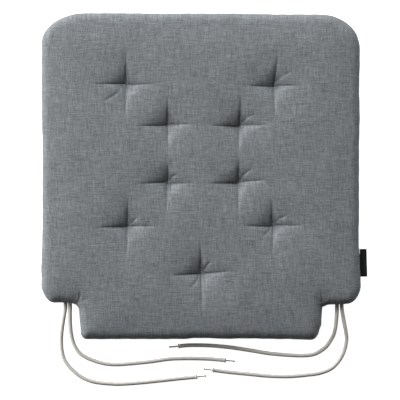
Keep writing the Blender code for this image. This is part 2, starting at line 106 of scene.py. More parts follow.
# Tufts: the hollow is a four-sided pyramid with soft sides, and a fold of cloth runs out from its
# centre along each corner: left, right, to the front and to the rear. Each fold is (offset at the
# tuft, offset at its end, length) in millimetres. Finer creases run between some of the folds,
# each as (start x, start y, end x, end y) in millimetres from its tuft. The simulation lifts the
# cloth by SWELL at most, and holds it within SWELL_EDGE of the seam and SWELL_TUFT of a tuft
HOLLOW_SLOPE = 0.38
HOLLOW_REACH = 0.0225
FOLD_DEPTH = 0.0013
FOLD_SHADY = 0.0015
FOLD_SUNNY = 0.0023
CREASE_DEPTH = 0.0013
CREASE_WIDTH = 0.0014
SWELL = 0.0012
SWELL_EDGE = 0.009
SWELL_TUFT = 0.007
SWELL_VOXEL = 0.005
SWELL_BLEND = 0.004
SWELL_FRAMES = 20
BOTTOM_PULL = 0.0030
BOTTOM_REACH = 0.0045
FOLDS = (
    ((0.7, 0.4, 39), (-0.6, 0.2, 38), (0.1, 0.0, 42), (0.0, -1.4, 41)),
    ((-1.2, 0.4, 34), (0.2, 0.4, 32), (0.0, 4.0, 36), (-0.4, 0.2, 38)),
    ((-0.5, -0.8, 39), (0.8, 1.2, 30), (0.0, -0.5, 34), (0.1, -0.4, 25)),
    ((-1.4, 0.6, 36), (1.1, 0.5, 34), (0.6, 1.4, 37), (-0.6, -0.9, 29)),
    ((1.4, -0.9, 33), (-0.7, 0.0, 31), (0.7, 1.0, 23), (-0.8, -1.4, 34)),
    ((-1.4, -1.1, 34), (0.6, 2.8, 34), (0.7, 0.4, 27), (-0.7, 0.1, 38)),
    ((-0.3, -1.2, 39), (0.6, 0.4, 34), (0.3, 0.0, 37), (-0.5, -1.4, 37)),
    ((-1.0, 0.3, 34), (0.6, 0.8, 40), (0.0, -1.2, 33), (1.1, -0.4, 35)),
    ((-0.1, -1.9, 37), (0.2, 2.8, 34), (0.0, -0.4, 39), (0.1, 1.0, 45)),
)
CREASES = (
    ((-4, -2, -28, -21),), ((1, 4, 22, 18),), (), ((2, 3, 18, 14),), ((2, 3, 13, 12),),
    ((2, 3, 17, 17),), ((3, 3, 15, 12),), ((2, 3, 18, 13), (-2, -3, -13, -13)),
    ((2, 2, 13, 16), (-2, -2, -13, -17)),
)

# Where the cloth is drawn in at the inner corner of each notch, with its creases
NOTCH_SPOT = (0.1555, -0.1585)
NOTCH_DEEPER = 1.5
NOTCH_CREASES = ((0, -2, -4, 13), (1, -1, -13, 5), (2, 0, 3, 11))

# Ties: each route runs along the centre line of a cord, from inside the seam to its collar
CORD_RADIUS = 0.0025
CORD_Z = 0.00695
CORD_REST_Z = 0.0026
CORD_ROOT_Y = -0.1497
MOUTH_ROOM = 0.0004
MOUTH_FADE = 0.007
ROUTES = {
    "tie_left_outer": (
        (-0.1706, CORD_ROOT_Y, CORD_Z), (-0.1706, -0.1605, CORD_Z), (-0.1710, -0.1680, 0.0067),
        (-0.1723, -0.1755, 0.0061), (-0.1737, -0.1835, 0.0052), (-0.1750, -0.1918, 0.0042),
        (-0.1762, -0.2019, 0.0031), (-0.1764, -0.2120, CORD_REST_Z),
        (-0.1753, -0.2221, CORD_REST_Z), (-0.1721, -0.2322, CORD_REST_Z),
        (-0.1649, -0.2423, CORD_REST_Z), (-0.1522, -0.2530, CORD_REST_Z),
        (-0.1396, -0.2588, CORD_REST_Z), (-0.1270, -0.2614, CORD_REST_Z),
        (-0.1143, -0.2625, CORD_REST_Z), (-0.1017, -0.2629, CORD_REST_Z),
        (-0.0765, -0.2612, CORD_REST_Z), (-0.0512, -0.2586, CORD_REST_Z),
        (-0.0260, -0.2559, CORD_REST_Z), (-0.0066, -0.2540, CORD_REST_Z),
    ),
    "tie_left_inner": (
        (-0.1650, CORD_ROOT_Y, CORD_Z), (-0.1650, -0.1605, CORD_Z), (-0.1649, -0.1680, 0.0067),
        (-0.1651, -0.1755, 0.0061), (-0.1650, -0.1835, 0.0052), (-0.1646, -0.1918, 0.0042),
        (-0.1633, -0.2019, 0.0031), (-0.1605, -0.2120, CORD_REST_Z),
        (-0.1546, -0.2221, CORD_REST_Z), (-0.1459, -0.2286, CORD_REST_Z),
        (-0.1333, -0.2339, CORD_REST_Z), (-0.1206, -0.2371, CORD_REST_Z),
        (-0.1080, -0.2382, CORD_REST_Z), (-0.0891, -0.2371, CORD_REST_Z),
        (-0.0639, -0.2346, CORD_REST_Z), (-0.0386, -0.2312, CORD_REST_Z),
        (-0.0134, -0.2305, CORD_REST_Z), (0.0119, -0.2312, CORD_REST_Z),
        (0.0295, -0.2328, CORD_REST_Z),
    ),
    "tie_right_inner": (
        (0.1722, CORD_ROOT_Y, CORD_Z), (0.1722, -0.1605, CORD_Z), (0.1722, -0.1680, 0.0067),
        (0.1719, -0.1755, 0.0061), (0.1713, -0.1835, 0.0052), (0.1702, -0.1918, 0.0042),
        (0.1679, -0.2010, 0.0031), (0.1632, -0.2095, CORD_REST_Z),
        (0.1572, -0.2171, CORD_REST_Z), (0.1450, -0.2246, CORD_REST_Z),
        (0.1318, -0.2268, CORD_REST_Z), (0.1128, -0.2264, CORD_REST_Z),
        (0.0876, -0.2243, CORD_REST_Z), (0.0623, -0.2203, CORD_REST_Z),
        (0.0371, -0.2166, CORD_REST_Z), (0.0119, -0.2143, CORD_REST_Z),
        (-0.0134, -0.2139, CORD_REST_Z), (-0.0260, -0.2149, CORD_REST_Z),
    ),
    "tie_right_outer": (
        (0.1780, CORD_ROOT_Y, CORD_Z), (0.1780, -0.1605, CORD_Z), (0.1784, -0.1680, 0.0067),
        (0.1796, -0.1755, 0.0061), (0.1811, -0.1835, 0.0052), (0.1827, -0.1918, 0.0042),
        (0.1840, -0.2000, 0.0031), (0.1844, -0.2070, CORD_REST_Z),
        (0.1826, -0.2171, CORD_REST_Z), (0.1788, -0.2272, CORD_REST_Z),
        (0.1721, -0.2370, CORD_REST_Z), (0.1633, -0.2444, CORD_REST_Z),
        (0.1507, -0.2490, CORD_REST_Z), (0.1381, -0.2510, CORD_REST_Z),
        (0.1128, -0.2532, CORD_REST_Z), (0.0876, -0.2528, CORD_REST_Z),
        (0.0623, -0.2505, CORD_REST_Z), (0.0371, -0.2480, CORD_REST_Z),
        (0.0174, -0.2456, CORD_REST_Z),
    ),
}
COLLAR_RADIUS = 0.0030
COLLAR_LENGTH = 0.0022
CORE_RADIUS = 0.0009
CORE_LENGTH = 0.0115
BEAD_RADIUS = 0.0012


# ---------------------------------------------------------------- materials

class Nodes:
    """Short calls for building one material's node tree."""

    def __init__(self, name):
        self.material = bpy.data.materials.new(name)
        self.material.use_nodes = True
        self.tree = self.material.node_tree
        self.shader = self.tree.nodes["Principled BSDF"]

    def add(self, kind, **values):
        node = self.tree.nodes.new(kind)
        for name, value in values.items():
            setattr(node, name, value)
        return node

    def link(self, source, target):
        self.tree.links.new(source, target)

    def attribute(self, name):
        return self.add("ShaderNodeAttribute", attribute_name=name)

    def scaled(self, vector, scale):
        node = self.add("ShaderNodeVectorMath", operation="MULTIPLY")
        self.link(vector, node.inputs[0])
        node.inputs[1].default_value = scale
        return node.outputs["Vector"]

    def noise(self, vector, scale, detail=2.0, roughness=0.5):
        node = self.add("ShaderNodeTexNoise")
        self.link(self.scaled(vector, scale), node.inputs["Vector"])
        node.inputs["Scale"].default_value = 1.0
        node.inputs["Detail"].default_value = detail
        node.inputs["Roughness"].default_value = roughness
        return node.outputs["Fac"]

    def math(self, operation, first, second=None):
        node = self.add("ShaderNodeMath", operation=operation)
        for socket, value in zip(node.inputs, (first, second)):
            if isinstance(value, (int, float)):
                socket.default_value = value
            elif value is not None:
                self.link(value, socket)
        return node.outputs[0]

    def remap(self, value, low, high, to_low, to_high):
        node = self.add("ShaderNodeMapRange")
        self.link(value, node.inputs["Value"])
        limits = ("From Min", low), ("From Max", high), ("To Min", to_low), ("To Max", to_high)
        for name, limit in limits:
            node.inputs[name].default_value = limit
        return node.outputs["Result"]

    def tint(self, colour, factor):
        """colour times a factor that runs over the surface."""
        node = self.add("ShaderNodeVectorMath", operation="SCALE")
        node.inputs[0].default_value = colour
        self.link(factor, node.inputs["Scale"])
        return node.outputs["Vector"]

    def bump(self, height, distance):
        node = self.add("ShaderNodeBump")
        node.inputs["Distance"].default_value = distance
        node.inputs["Strength"].default_value = 1.0
        self.link(height, node.inputs["Height"])
        self.link(node.outputs["Normal"], self.shader.inputs["Normal"])

    def finish(self, colour, roughness, **sockets):
        self.link(colour, self.shader.inputs["Base Color"])
        if isinstance(roughness, float):
            self.shader.inputs["Roughness"].default_value = roughness
        else:
            self.link(roughness, self.shader.inputs["Roughness"])
        for name, value in sockets.items():
            socket = name.replace("_", " ").title().replace("Ior", "IOR")
            self.shader.inputs[socket].default_value = value
        return self.material


YARN = 0.00085
DASH_CONTRAST = 0.9
FUZZ_CONTRAST = 0.28


def woven(name, colour):
    """Plain weave of slubbed yarn: long and short dashes along the warp and the weft, and fuzz."""
    nodes = Nodes(name)
    at = nodes.attribute("weave_at").outputs["Vector"]
    split = nodes.add("ShaderNodeSeparateXYZ")
    nodes.link(at, split.inputs[0])
    turns = math.pi / YARN
    wave_x = nodes.math("SINE", nodes.math("MULTIPLY", split.outputs["X"], turns))
    wave_y = nodes.math("SINE", nodes.math("MULTIPLY", split.outputs["Y"], turns))
    over = nodes.math("MULTIPLY", wave_x, wave_y)
    on_top = nodes.remap(over, -0.35, 0.35, 0.0, 1.0)

    def yarns(long_scale, short_scale):
        long_dashes = nodes.math("MULTIPLY", nodes.noise(at, long_scale, 1.5, 0.6), 0.45)
        short_dashes = nodes.math("MULTIPLY", nodes.noise(at, short_scale, 2.5, 0.7), 0.55)
        return nodes.math("ADD", long_dashes, short_dashes)

    weft = yarns((42, 930, 95), (170, 1150, 60))
    warp = yarns((930, 42, 95), (1150, 170, 60))
    slub = nodes.math("ADD", nodes.math("MULTIPLY", weft, on_top), nodes.math(
        "MULTIPLY", warp, nodes.math("SUBTRACT", 1.0, on_top)))
    both = nodes.math("MULTIPLY", nodes.math("ADD", weft, warp), 0.5)
    dashes = nodes.math("ADD", nodes.math("MULTIPLY", slub, 0.4), nodes.math("MULTIPLY", both, 0.6))
    patches = nodes.noise(at, (28, 28, 28), 3.0, 0.6)
    fuzz = nodes.noise(at, (1500, 1500, 200), 1.0, 0.5)
    level = nodes.math("ADD", nodes.remap(dashes, 0.3, 0.7, 1 - DASH_CONTRAST, 1 + DASH_CONTRAST),
                       nodes.remap(patches, 0.3, 0.7, -0.02, 0.02))
    level = nodes.math("ADD", level, nodes.remap(fuzz, 0.3, 0.7, -FUZZ_CONTRAST, FUZZ_CONTRAST))
    ridge = nodes.math("ADD", nodes.math("ABSOLUTE", wave_x), nodes.math("ABSOLUTE", wave_y))
    height = nodes.math("ADD", nodes.math("MULTIPLY", ridge, 0.35), nodes.math("MULTIPLY", dashes, 1.6))
    nodes.bump(height, 0.00022)
    rough = nodes.remap(dashes, 0.3, 0.7, 0.82, 0.95)
    return nodes.finish(nodes.tint(colour, level), rough, sheen_weight=0.16, sheen_roughness=0.4)


def fibrous(name, colour, roughness=0.85, grain=900.0, variation=0.12, depth=0.0001):
    """Short fibres with no direction, for thread, wadding and foam."""
    nodes = Nodes(name)
    at = nodes.add("ShaderNodeTexCoord").outputs["Object"]
    fine = nodes.noise(at, (grain,) * 3, 4.0, 0.7)
    broad = nodes.noise(at, (grain / 12,) * 3, 2.0)
    level = nodes.math("ADD", nodes.remap(fine, 0.3, 0.7, 1 - variation, 1 + variation),
                       nodes.remap(broad, 0.3, 0.7, -0.04, 0.04))
    nodes.bump(fine, depth)
    return nodes.finish(nodes.tint(colour, level), roughness)


def braided(name, colour):
    """Braid yarn, with painted shade: darker in the gaps where the strands dive, a little lighter on their
    crowns.
    """
    nodes = Nodes(name)
    rise = nodes.attribute("rise").outputs["Fac"]
    along = nodes.attribute("strand").outputs["Vector"]
    fibre = nodes.noise(along, (500, 9000, 500), 3.0, 0.6)
    flecks = nodes.noise(along, (140, 600, 140), 2.0, 0.6)
    # Painted shade: the colour follows the braid's rise, dark in the gaps between strands and lighter on
    # the crowns
    level = nodes.math("MULTIPLY", nodes.remap(rise, 0.0, 0.8, 0.50, 1.06),
                       nodes.remap(fibre, 0.3, 0.7, 0.9, 1.08))
    level = nodes.math("MULTIPLY", level, nodes.remap(flecks, 0.35, 0.65, 0.9, 1.06))
    nodes.bump(fibre, 0.00008)
    return nodes.finish(nodes.tint(colour, level), 0.82, sheen_weight=0.15)


def taped(name, colour):
    """Narrow woven tape: fine ribs across it, with painted shade in the grooves between the ribs and
    painted light on their tops, and a fleck of wear on the ribs' tops.
    """
    nodes = Nodes(name)
    at = nodes.add("ShaderNodeTexCoord").outputs["Object"]
    split = nodes.add("ShaderNodeSeparateXYZ")
    nodes.link(at, split.inputs[0])
    rib = nodes.math("ABSOLUTE", nodes.math("SINE", nodes.math("MULTIPLY", split.outputs["Y"], 5200.0)))
    cross = nodes.math("ABSOLUTE", nodes.math("SINE", nodes.math("MULTIPLY", split.outputs["X"], 7400.0)))
    cloth = nodes.math("MULTIPLY", rib, cross)
    fleck = nodes.noise(at, (1800, 600, 900), 3.0, 0.6)
    # Painted shade: the colour follows the ribs' height, darker in the grooves and lighter on the tops
    level = nodes.math("MULTIPLY", nodes.remap(cloth, 0.0, 1.0, 0.6, 1.4),
                       nodes.remap(fleck, 0.3, 0.7, 0.8, 1.25))
    nodes.bump(cloth, 0.00012)
    return nodes.finish(nodes.tint(colour, level), 0.8, specular_ior_level=0.3, sheen_weight=0.02)


SLATE = (0.165, 0.178, 0.188)
COVER_WEAVE = woven("slate_weave", SLATE)
THREAD = fibrous("grey_thread", (0.10, 0.105, 0.11), 0.75, 2500.0)
FIBRE = fibrous("white_fibre", (0.80, 0.80, 0.78), 0.95, 500.0, 0.05, 0.0004)
FOAM = fibrous("cream_foam", (0.72, 0.68, 0.52), 0.9, 1400.0, 0.10, 0.0002)
BRAID = braided("cord_braid", (0.56, 0.545, 0.505))
COLLAR = fibrous("cord_collar", (0.34, 0.33, 0.30), 0.6, 1800.0, 0.15)
CORE = fibrous("cord_core", (0.30, 0.29, 0.265), 0.75, 2200.0, 0.15)
TAPE = taped("black_tape", (0.0055, 0.0055, 0.006))


# ---------------------------------------------------------------- shared mesh work

def mesh_object(name, points, faces, look):
    """An object from points and faces. A face that repeats its last point is a triangle."""
    mesh = bpy.data.meshes.new(name)
    corners = [tuple(point) for point in points]
    mesh.from_pydata(corners, [], [tuple(dict.fromkeys(face)) for face in faces])
    mesh.update()
    mesh.materials.append(look)
    mesh.shade_smooth()
    made = bpy.data.objects.new(name, mesh)
    bpy.context.scene.collection.objects.link(made)
    return made


def store(piece, name, values):
    """Keeps a number or a vector for each point of a mesh under a name that materials read."""
    values = np.asarray(values, np.float32)
    kind, field = ("FLOAT", "value") if values.ndim == 1 else ("FLOAT_VECTOR", "vector")
    piece.data.attributes.new(name, kind, "POINT").data.foreach_set(field, values.ravel())


def smooth_route(points, spacing, lowest=CORD_REST_Z):
    """Points about spacing apart on the smooth curve through a route's points."""
    route = np.array([points[0], *points, points[-1]], float)
    route[0] = 2 * route[1] - route[2]
    route[-1] = 2 * route[-2] - route[-3]
    fine = []
    for a, b, c, d in zip(route, route[1:], route[2:], route[3:]):
        for t in np.linspace(0, 1, 12, endpoint=False):
            ramp = 2 * b + (c - a) * t + (2 * a - 5 * b + 4 * c - d) * t**2
            fine.append((ramp + (3 * b - a - 3 * c + d) * t**3) / 2)
    fine = np.array([*fine, route[-2]])
    fine[:, 2] = np.maximum(fine[:, 2], lowest)
    run = np.concatenate([[0], np.cumsum(np.linalg.norm(np.diff(fine, axis=0), axis=1))])
    stops = np.linspace(0, run[-1], int(round(run[-1] / spacing)) + 1)
    return np.stack([np.interp(stops, run, fine[:, axis]) for axis in range(3)], axis=1)


def swept(name, path, radius_at, turns, look):
    """A round skin along path whose radius is radius_at(angle, run), with a frame that doesn't twist."""
    path = np.asarray(path, float)
    tangents = np.gradient(path, axis=0)
    tangents /= np.linalg.norm(tangents, axis=1)[:, None]
    side = np.cross(tangents[0], (0.0, 0.0, 1.0))
    side /= np.linalg.norm(side)
    run = np.concatenate([[0], np.cumsum(np.linalg.norm(np.diff(path, axis=0), axis=1))])
    angles = np.linspace(0, 2 * np.pi, turns, endpoint=False)
    rings = []
    for place, tangent in zip(path, tangents):
        side = side - tangent * side.dot(tangent)
        side /= np.linalg.norm(side)
        up = np.cross(side, tangent)
        rings.append(np.outer(np.cos(angles), side) + np.outer(np.sin(angles), up))
    rings = np.array(rings)
    radii = radius_at(angles[None, :], run[:, None])
    points = (path[:, None, :] + rings * radii[:, :, None]).reshape(-1, 3)
    count = len(path)
    index = np.arange(count * turns).reshape(count, turns)
    here, after = index[:-1], index[1:]
    faces = np.stack([here, np.roll(here, -1, 1), np.roll(after, -1, 1), after], axis=-1).reshape(-1, 4)
    faces = [tuple(face) for face in faces] + [tuple(index[0][::-1]), tuple(index[-1])]
    made = mesh_object(name, points, faces, look)
    return made, angles, run


# ---------------------------------------------------------------- the cover's grid

def grid_lines(edges, tufts):
    """Grid lines along one axis: close where the edge rolls and beside each tuft, wide elsewhere."""
    roll = [EDGE_ROLL * (1 - math.cos(math.pi / 2 * step / ROLL_LINES)) for step in range(ROLL_LINES + 1)]
    lines = [edge for edge, _ in edges]
    wanted = [edge + way * offset for edge, way in edges for offset in roll[1:]]
    spread = np.arange(-CREASE_LINES, CREASE_LINES + 1) * CREASE_STEP
    wanted += [tuft + offset for tuft in tufts for offset in spread]
    for value in wanted:
        by_seam = any(abs(value - edge) < SEAM_SIDE for edge, _ in edges)
        narrowest = NARROWEST_AT_SEAM if by_seam else NARROWEST
        if min(abs(value - line) for line in lines) >= narrowest:
            lines.append(value)
    lines.sort()
    filled = []
    for low, high in zip(lines, lines[1:]):
        steps = max(1, math.ceil((high - low) / WIDEST))
        filled += [low + (high - low) * step / steps for step in range(steps)]
    return np.array(filled + [lines[-1]])


def corner_targets(plan, on_edge):
    """Where each point on the sharp-cornered outline goes on the one with rounded corners."""
    target = plan.copy()
    for index, sign in enumerate((-1, 1)):
        corners = (
            ((sign * HALF_WIDTH, FRONT_Y), (-sign, -1), FRONT_CORNERS[index]),
            ((sign * HALF_WIDTH, SHOULDER_Y), (-sign, 1), SHOULDER_CORNERS[index]),
            ((sign * TONGUE_HALF, SHOULDER_Y), (sign, -1), NOTCH_CORNERS[index]),
            ((sign * TONGUE_HALF, REAR_Y), (-sign, 1), TONGUE_CORNERS[index]),
        )
        for spot, ways, reaches in corners:
            reach = np.array(reaches) * ways
            offset = (plan - np.array(spot)) / reach
            for along in (0, 1):
                run, away = offset[..., along], offset[..., 1 - along]
                near = on_edge & (np.abs(away) < 1e-6) & (run > -1e-6) & (run < 1)
                angle = math.pi / 4 * (1 - run[near])
                spread = np.zeros((near.sum(), 2))
                spread[:, along] = 1 - np.sin(angle)
                spread[:, 1 - along] = 1 - np.cos(angle)
                target[near] = np.array(spot) + spread * reach
    return target


def eased(value, stops):
    """A smooth run through (place, push) stops given in millimetres, in metres."""
    places, pushes = np.array(stops).T / 1000
    index = np.clip(np.searchsorted(places, value) - 1, 0, len(places) - 2)
    share = np.clip((value - places[index]) / (places[index + 1] - places[index]), 0, 1)
    share = share * share * (3 - 2 * share)
    return pushes[index] * (1 - share) + pushes[index + 1] * share


def outline_wander(target):
    """How far each edge point leaves its straight line: the sewn outline isn't quite even."""
    x, y = target[..., 0], target[..., 1]
    tongue = y < SHOULDER_Y - 0.004
    push = np.zeros_like(target)
    side = np.where(x < 0, -eased(y, LEFT_WANDER), eased(y, RIGHT_WANDER))
    neck = np.where(x < 0, -eased(y, TONGUE_LEFT_WANDER), eased(y, TONGUE_RIGHT_WANDER))
    near_side = np.clip((np.abs(x) - HALF_WIDTH + 0.03) / 0.03, 0, 1) * ~tongue
    near_neck = np.clip((np.abs(x) - TONGUE_HALF + 0.015) / 0.015, 0, 1) * tongue
    push[..., 0] = side * near_side + neck * near_neck
    near_front = np.clip((y - FRONT_Y + 0.03) / 0.03, 0, 1)
    near_rear = np.clip((REAR_Y + 0.012 - y) / 0.012, 0, 1)
    near_shoulder = np.clip((SHOULDER_Y + 0.03 - y) / 0.03, 0, 1) * ~tongue
    push[..., 1] = eased(x, FRONT_WANDER) * near_front - eased(x, REAR_WANDER) * near_rear
    push[..., 1] -= eased(x, SHOULDER_WANDER) * near_shoulder
    ripple = np.sin(x * 310 + np.sin(y * 97)) + np.sin(y * 290 + np.sin(x * 83))
    return push + 0.00012 * ripple[..., None]


def relaxed(push, known, lines_x, lines_y, used, rounds=500):
    """Spreads the push of the edge points smoothly over the points inside."""
    gap_x, gap_y = 1 / np.diff(lines_x), 1 / np.diff(lines_y)
    weights = np.zeros((4, *used.shape))
    weights[0, 1:] = gap_x[:, None] * used[:-1]
    weights[1, :-1] = gap_x[:, None] * used[1:]
    weights[2, :, 1:] = gap_y[None, :] * used[:, :-1]
    weights[3, :, :-1] = gap_y[None, :] * used[:, 1:]
    total = np.maximum(weights.sum(axis=0), 1e-9)
    free = used & ~known
    for _ in range(rounds):
        around = np.zeros_like(push)
        around[1:] += weights[0, 1:, :, None] * push[:-1]
        around[:-1] += weights[1, :-1, :, None] * push[1:]
        around[:, 1:] += weights[2, :, 1:, None] * push[:, :-1]
        around[:, :-1] += weights[3, :, :-1, None] * push[:, 1:]
        push[free] = (around / total[..., None])[free]
    return push


def nearest_edge(points, starts, ends):
    """Distance of each point to the outline, and the point of the outline nearest to it."""
    distance = np.full(len(points), np.inf)
    nearest = np.zeros_like(points)
    for start, end in zip(starts, ends):
        way = end - start
        share = np.clip(((points - start) @ way) / (way @ way), 0, 1)
        spot = start + share[:, None] * way
        gap = np.linalg.norm(points - spot, axis=1)
        closer = gap < distance
        distance[closer] = gap[closer]
        nearest[closer] = spot[closer]
    return distance, nearest


def finer_by_creases(points, quads):
    """Splits the quads beside the fine creases, so that the creases have points to bend at."""
    close = np.zeros(len(points), bool)
    for place, creases in zip(TUFTS, CREASES):
        for crease in creases:
            for share in np.linspace(0.05, 1, 16):
                start, end = np.array(crease[:2]) / 1000, np.array(crease[2:]) / 1000
                spot = np.array(place) + start + (end - start) * share
                close |= np.linalg.norm(points - spot, axis=1) < CREASE_ROOM
    form = bmesh.new()
    made = [form.verts.new((x, y, 0.0)) for x, y in points]
    for face in quads:
        form.faces.new([made[index] for index in face])
    form.verts.index_update()
    sides = [side for side in form.edges
             if side.calc_length() > CREASE_SIDE and all(close[end.index] for end in side.verts)]
    bmesh.ops.subdivide_edges(form, edges=sides, cuts=2, use_grid_fill=True)
    bmesh.ops.triangulate(form, faces=[face for face in form.faces if len(face.verts) > 4])
    form.verts.index_update()
    points = np.array([point.co[:2] for point in form.verts])
    faces = [[corner.index for corner in face.verts] for face in form.faces]
    form.free()
    return points, np.array([face + face[-1:] * (4 - len(face)) for face in faces])


def cover_plan():
    """The cover's points in plan, its quads, each point's distance to the edge and nearest edge point."""
    tuft_x, tuft_y = zip(*TUFTS)
    lines_x = grid_lines(((-HALF_WIDTH, 1), (HALF_WIDTH, -1), (-TONGUE_HALF, 1), (TONGUE_HALF, -1)),
                         tuft_x)
    lines_y = grid_lines(((REAR_Y, 1), (SHOULDER_Y, 1), (FRONT_Y, -1)), tuft_y)
    plan = np.stack(np.meshgrid(lines_x, lines_y, indexing="ij"), axis=-1)
    middle_x = (lines_x[1:] + lines_x[:-1]) / 2
    middle_y = (lines_y[1:] + lines_y[:-1]) / 2
    cells = (np.abs(middle_x)[:, None] < TONGUE_HALF) | (middle_y[None, :] > SHOULDER_Y)
    shares = np.zeros(plan.shape[:2], int)
    for i in (0, 1):
        for j in (0, 1):
            shares[i:i + cells.shape[0], j:j + cells.shape[1]] += cells
    used, edge = shares > 0, (shares > 0) & (shares < 4)
    push = np.zeros_like(plan)
    target = corner_targets(plan, edge)
    push[edge] = (target + outline_wander(target) - plan)[edge]
    plan = plan + relaxed(push, edge, lines_x, lines_y, used)
    number = np.full(used.shape, -1)
    number[used] = np.arange(used.sum())
    at = np.argwhere(cells)
    around = ((0, 0), (1, 0), (1, 1), (0, 1))
    quads = np.stack([number[at[:, 0] + i, at[:, 1] + j] for i, j in around], axis=1)
    points, quads = finer_by_creases(plan[used], quads)
    rim = open_sides(quads)
    distance, nearest = nearest_edge(points, points[rim[:, 0]], points[rim[:, 1]])
    on_rim = np.zeros(len(points), bool)
    on_rim[rim.ravel()] = True
    distance[on_rim] = 0
    return points, quads, distance, nearest


def face_share(distance):
    """How fully each point belongs to the face: 0 at the seam, 1 where the roll ends."""
    inside = np.clip(distance / EDGE_ROLL, 0, 1)
    return np.sqrt(1 - (1 - inside) ** 2)


def roll_height(distance, x=0.0):
    """The cover's height over the seam at each distance from it, summed from EDGE_SLOPES."""
    distance = distance * (1 + RIGHT_SHARPER * np.clip((x - 0.15) / 0.04, 0, 1))
    steps = np.linspace(0, 0.13, 1301)
    places, slopes = np.array(EDGE_SLOPES).T
    steep = np.interp(steps, places / 1000, slopes)
    heights = np.concatenate([[0], np.cumsum((steep[1:] + steep[:-1]) / 2 * np.diff(steps))])
    return np.interp(distance, steps, heights)


def on_cloth(points, distance, nearest):
    """Where each point lies on the flat cloth: the roll's own length is laid out past the edge."""
    steps = np.linspace(0, EDGE_ROLL, 200)
    rises = roll_height(steps)
    lengths = np.concatenate([[0], np.cumsum(np.hypot(np.diff(steps), np.diff(rises)))])
    spare = (lengths[-1] - np.interp(distance, steps, lengths)) - np.clip(EDGE_ROLL - distance, 0, None)
    inward = points - nearest
    size = np.linalg.norm(inward, axis=1)
    inward = np.where(size[:, None] > 1e-9, inward / np.maximum(size, 1e-9)[:, None], 0)
    return points - inward * spare[:, None]


def uneven(points, scale, seed):
    """A smooth, repeatable unevenness between -1 and 1 at each point."""
    return np.array([noise.noise(Vector((x * scale, y * scale, seed))) for x, y in points])


def hollow_profile():
    """The hollow's depth against the distance from its centre, summed from how its slope fades."""
    places = np.linspace(0, 4 * HOLLOW_REACH, 400)
    slopes = HOLLOW_SLOPE / (1 + (places / HOLLOW_REACH) ** 4)
    depths = np.cumsum(slopes[::-1])[::-1] * (places[1] - places[0])
    return places, depths - depths[-1]


def fold_line(along, before, after):
    """How far the two folds along one axis lie from it at each point."""
    stops = (-before[2], -3, 3, after[2])
    offsets = (before[1], before[0], after[0], after[1])
    return np.interp(along * 1000, stops, offsets) / 1000


def fold_pull(along, across, before, after):
    """The two folds along one axis: V-shaped, deepest past a third of the way out, with one steep side."""
    share = np.abs(along) * 1000 / np.where(along < 0, before[2], after[2])
    strength = (0.5 + 0.5 * np.clip(share / 0.35, 0, 1)) * np.clip(1 - share**4, 0, 1)
    width = np.where(across > 0, FOLD_SHADY, FOLD_SUNNY)
    return FOLD_DEPTH * strength * np.exp(-np.abs(across) / width)


def crease_pull(offset, crease):
    """A fine, slightly bowed crease between two points."""
    start, end = np.array(crease[:2]) / 1000, np.array(crease[2:]) / 1000
    length = np.linalg.norm(end - start)
    way = (end - start) / length
    share = ((offset - start) @ way) / length
    bend = 0.06 * length * np.sin(np.pi * np.clip(share, 0, 1))
    across = (offset - start) @ np.array((-way[1], way[0])) - bend
    strength = np.clip(4 * share * (1 - share), 0, 1) ** 0.5
    return CREASE_DEPTH * strength * np.exp(-np.abs(across) / CREASE_WIDTH)


def top_hollows(points):
    """The tufts' hollows alone, without their folds."""
    places, depths = hollow_profile()
    reaches = [np.hypot(points - np.array(place), 0.0004).sum(axis=1) for place in TUFTS]
    return np.sum([np.interp(reach, places, depths) for reach in reaches], axis=0)


def top_pull(points):
    """How far the tufts pull the top cover down."""
    places, depths = hollow_profile()
    pull = np.zeros(len(points))
    for place, (left, right, front, rear), creases in zip(TUFTS, FOLDS, CREASES):
        offset = points - np.array(place)
        x, y = offset.T
        across_y = y - fold_line(x, left, right)
        across_x = x - fold_line(y, rear, front)
        reach = np.hypot(across_x, 0.0004) + np.hypot(across_y, 0.0004)
        folds = np.maximum(fold_pull(x, across_y, left, right), fold_pull(y, -across_x, rear, front))
        pull += np.interp(reach, places, depths) + folds
        for crease in creases:
            pull += crease_pull(offset, crease)
    for sign in (-1, 1):
        offset = (points - np.array((sign * NOTCH_SPOT[0], NOTCH_SPOT[1]))) * (sign, 1)
        for crease in NOTCH_CREASES:
            pull += NOTCH_DEEPER * crease_pull(offset, crease)
    return pull


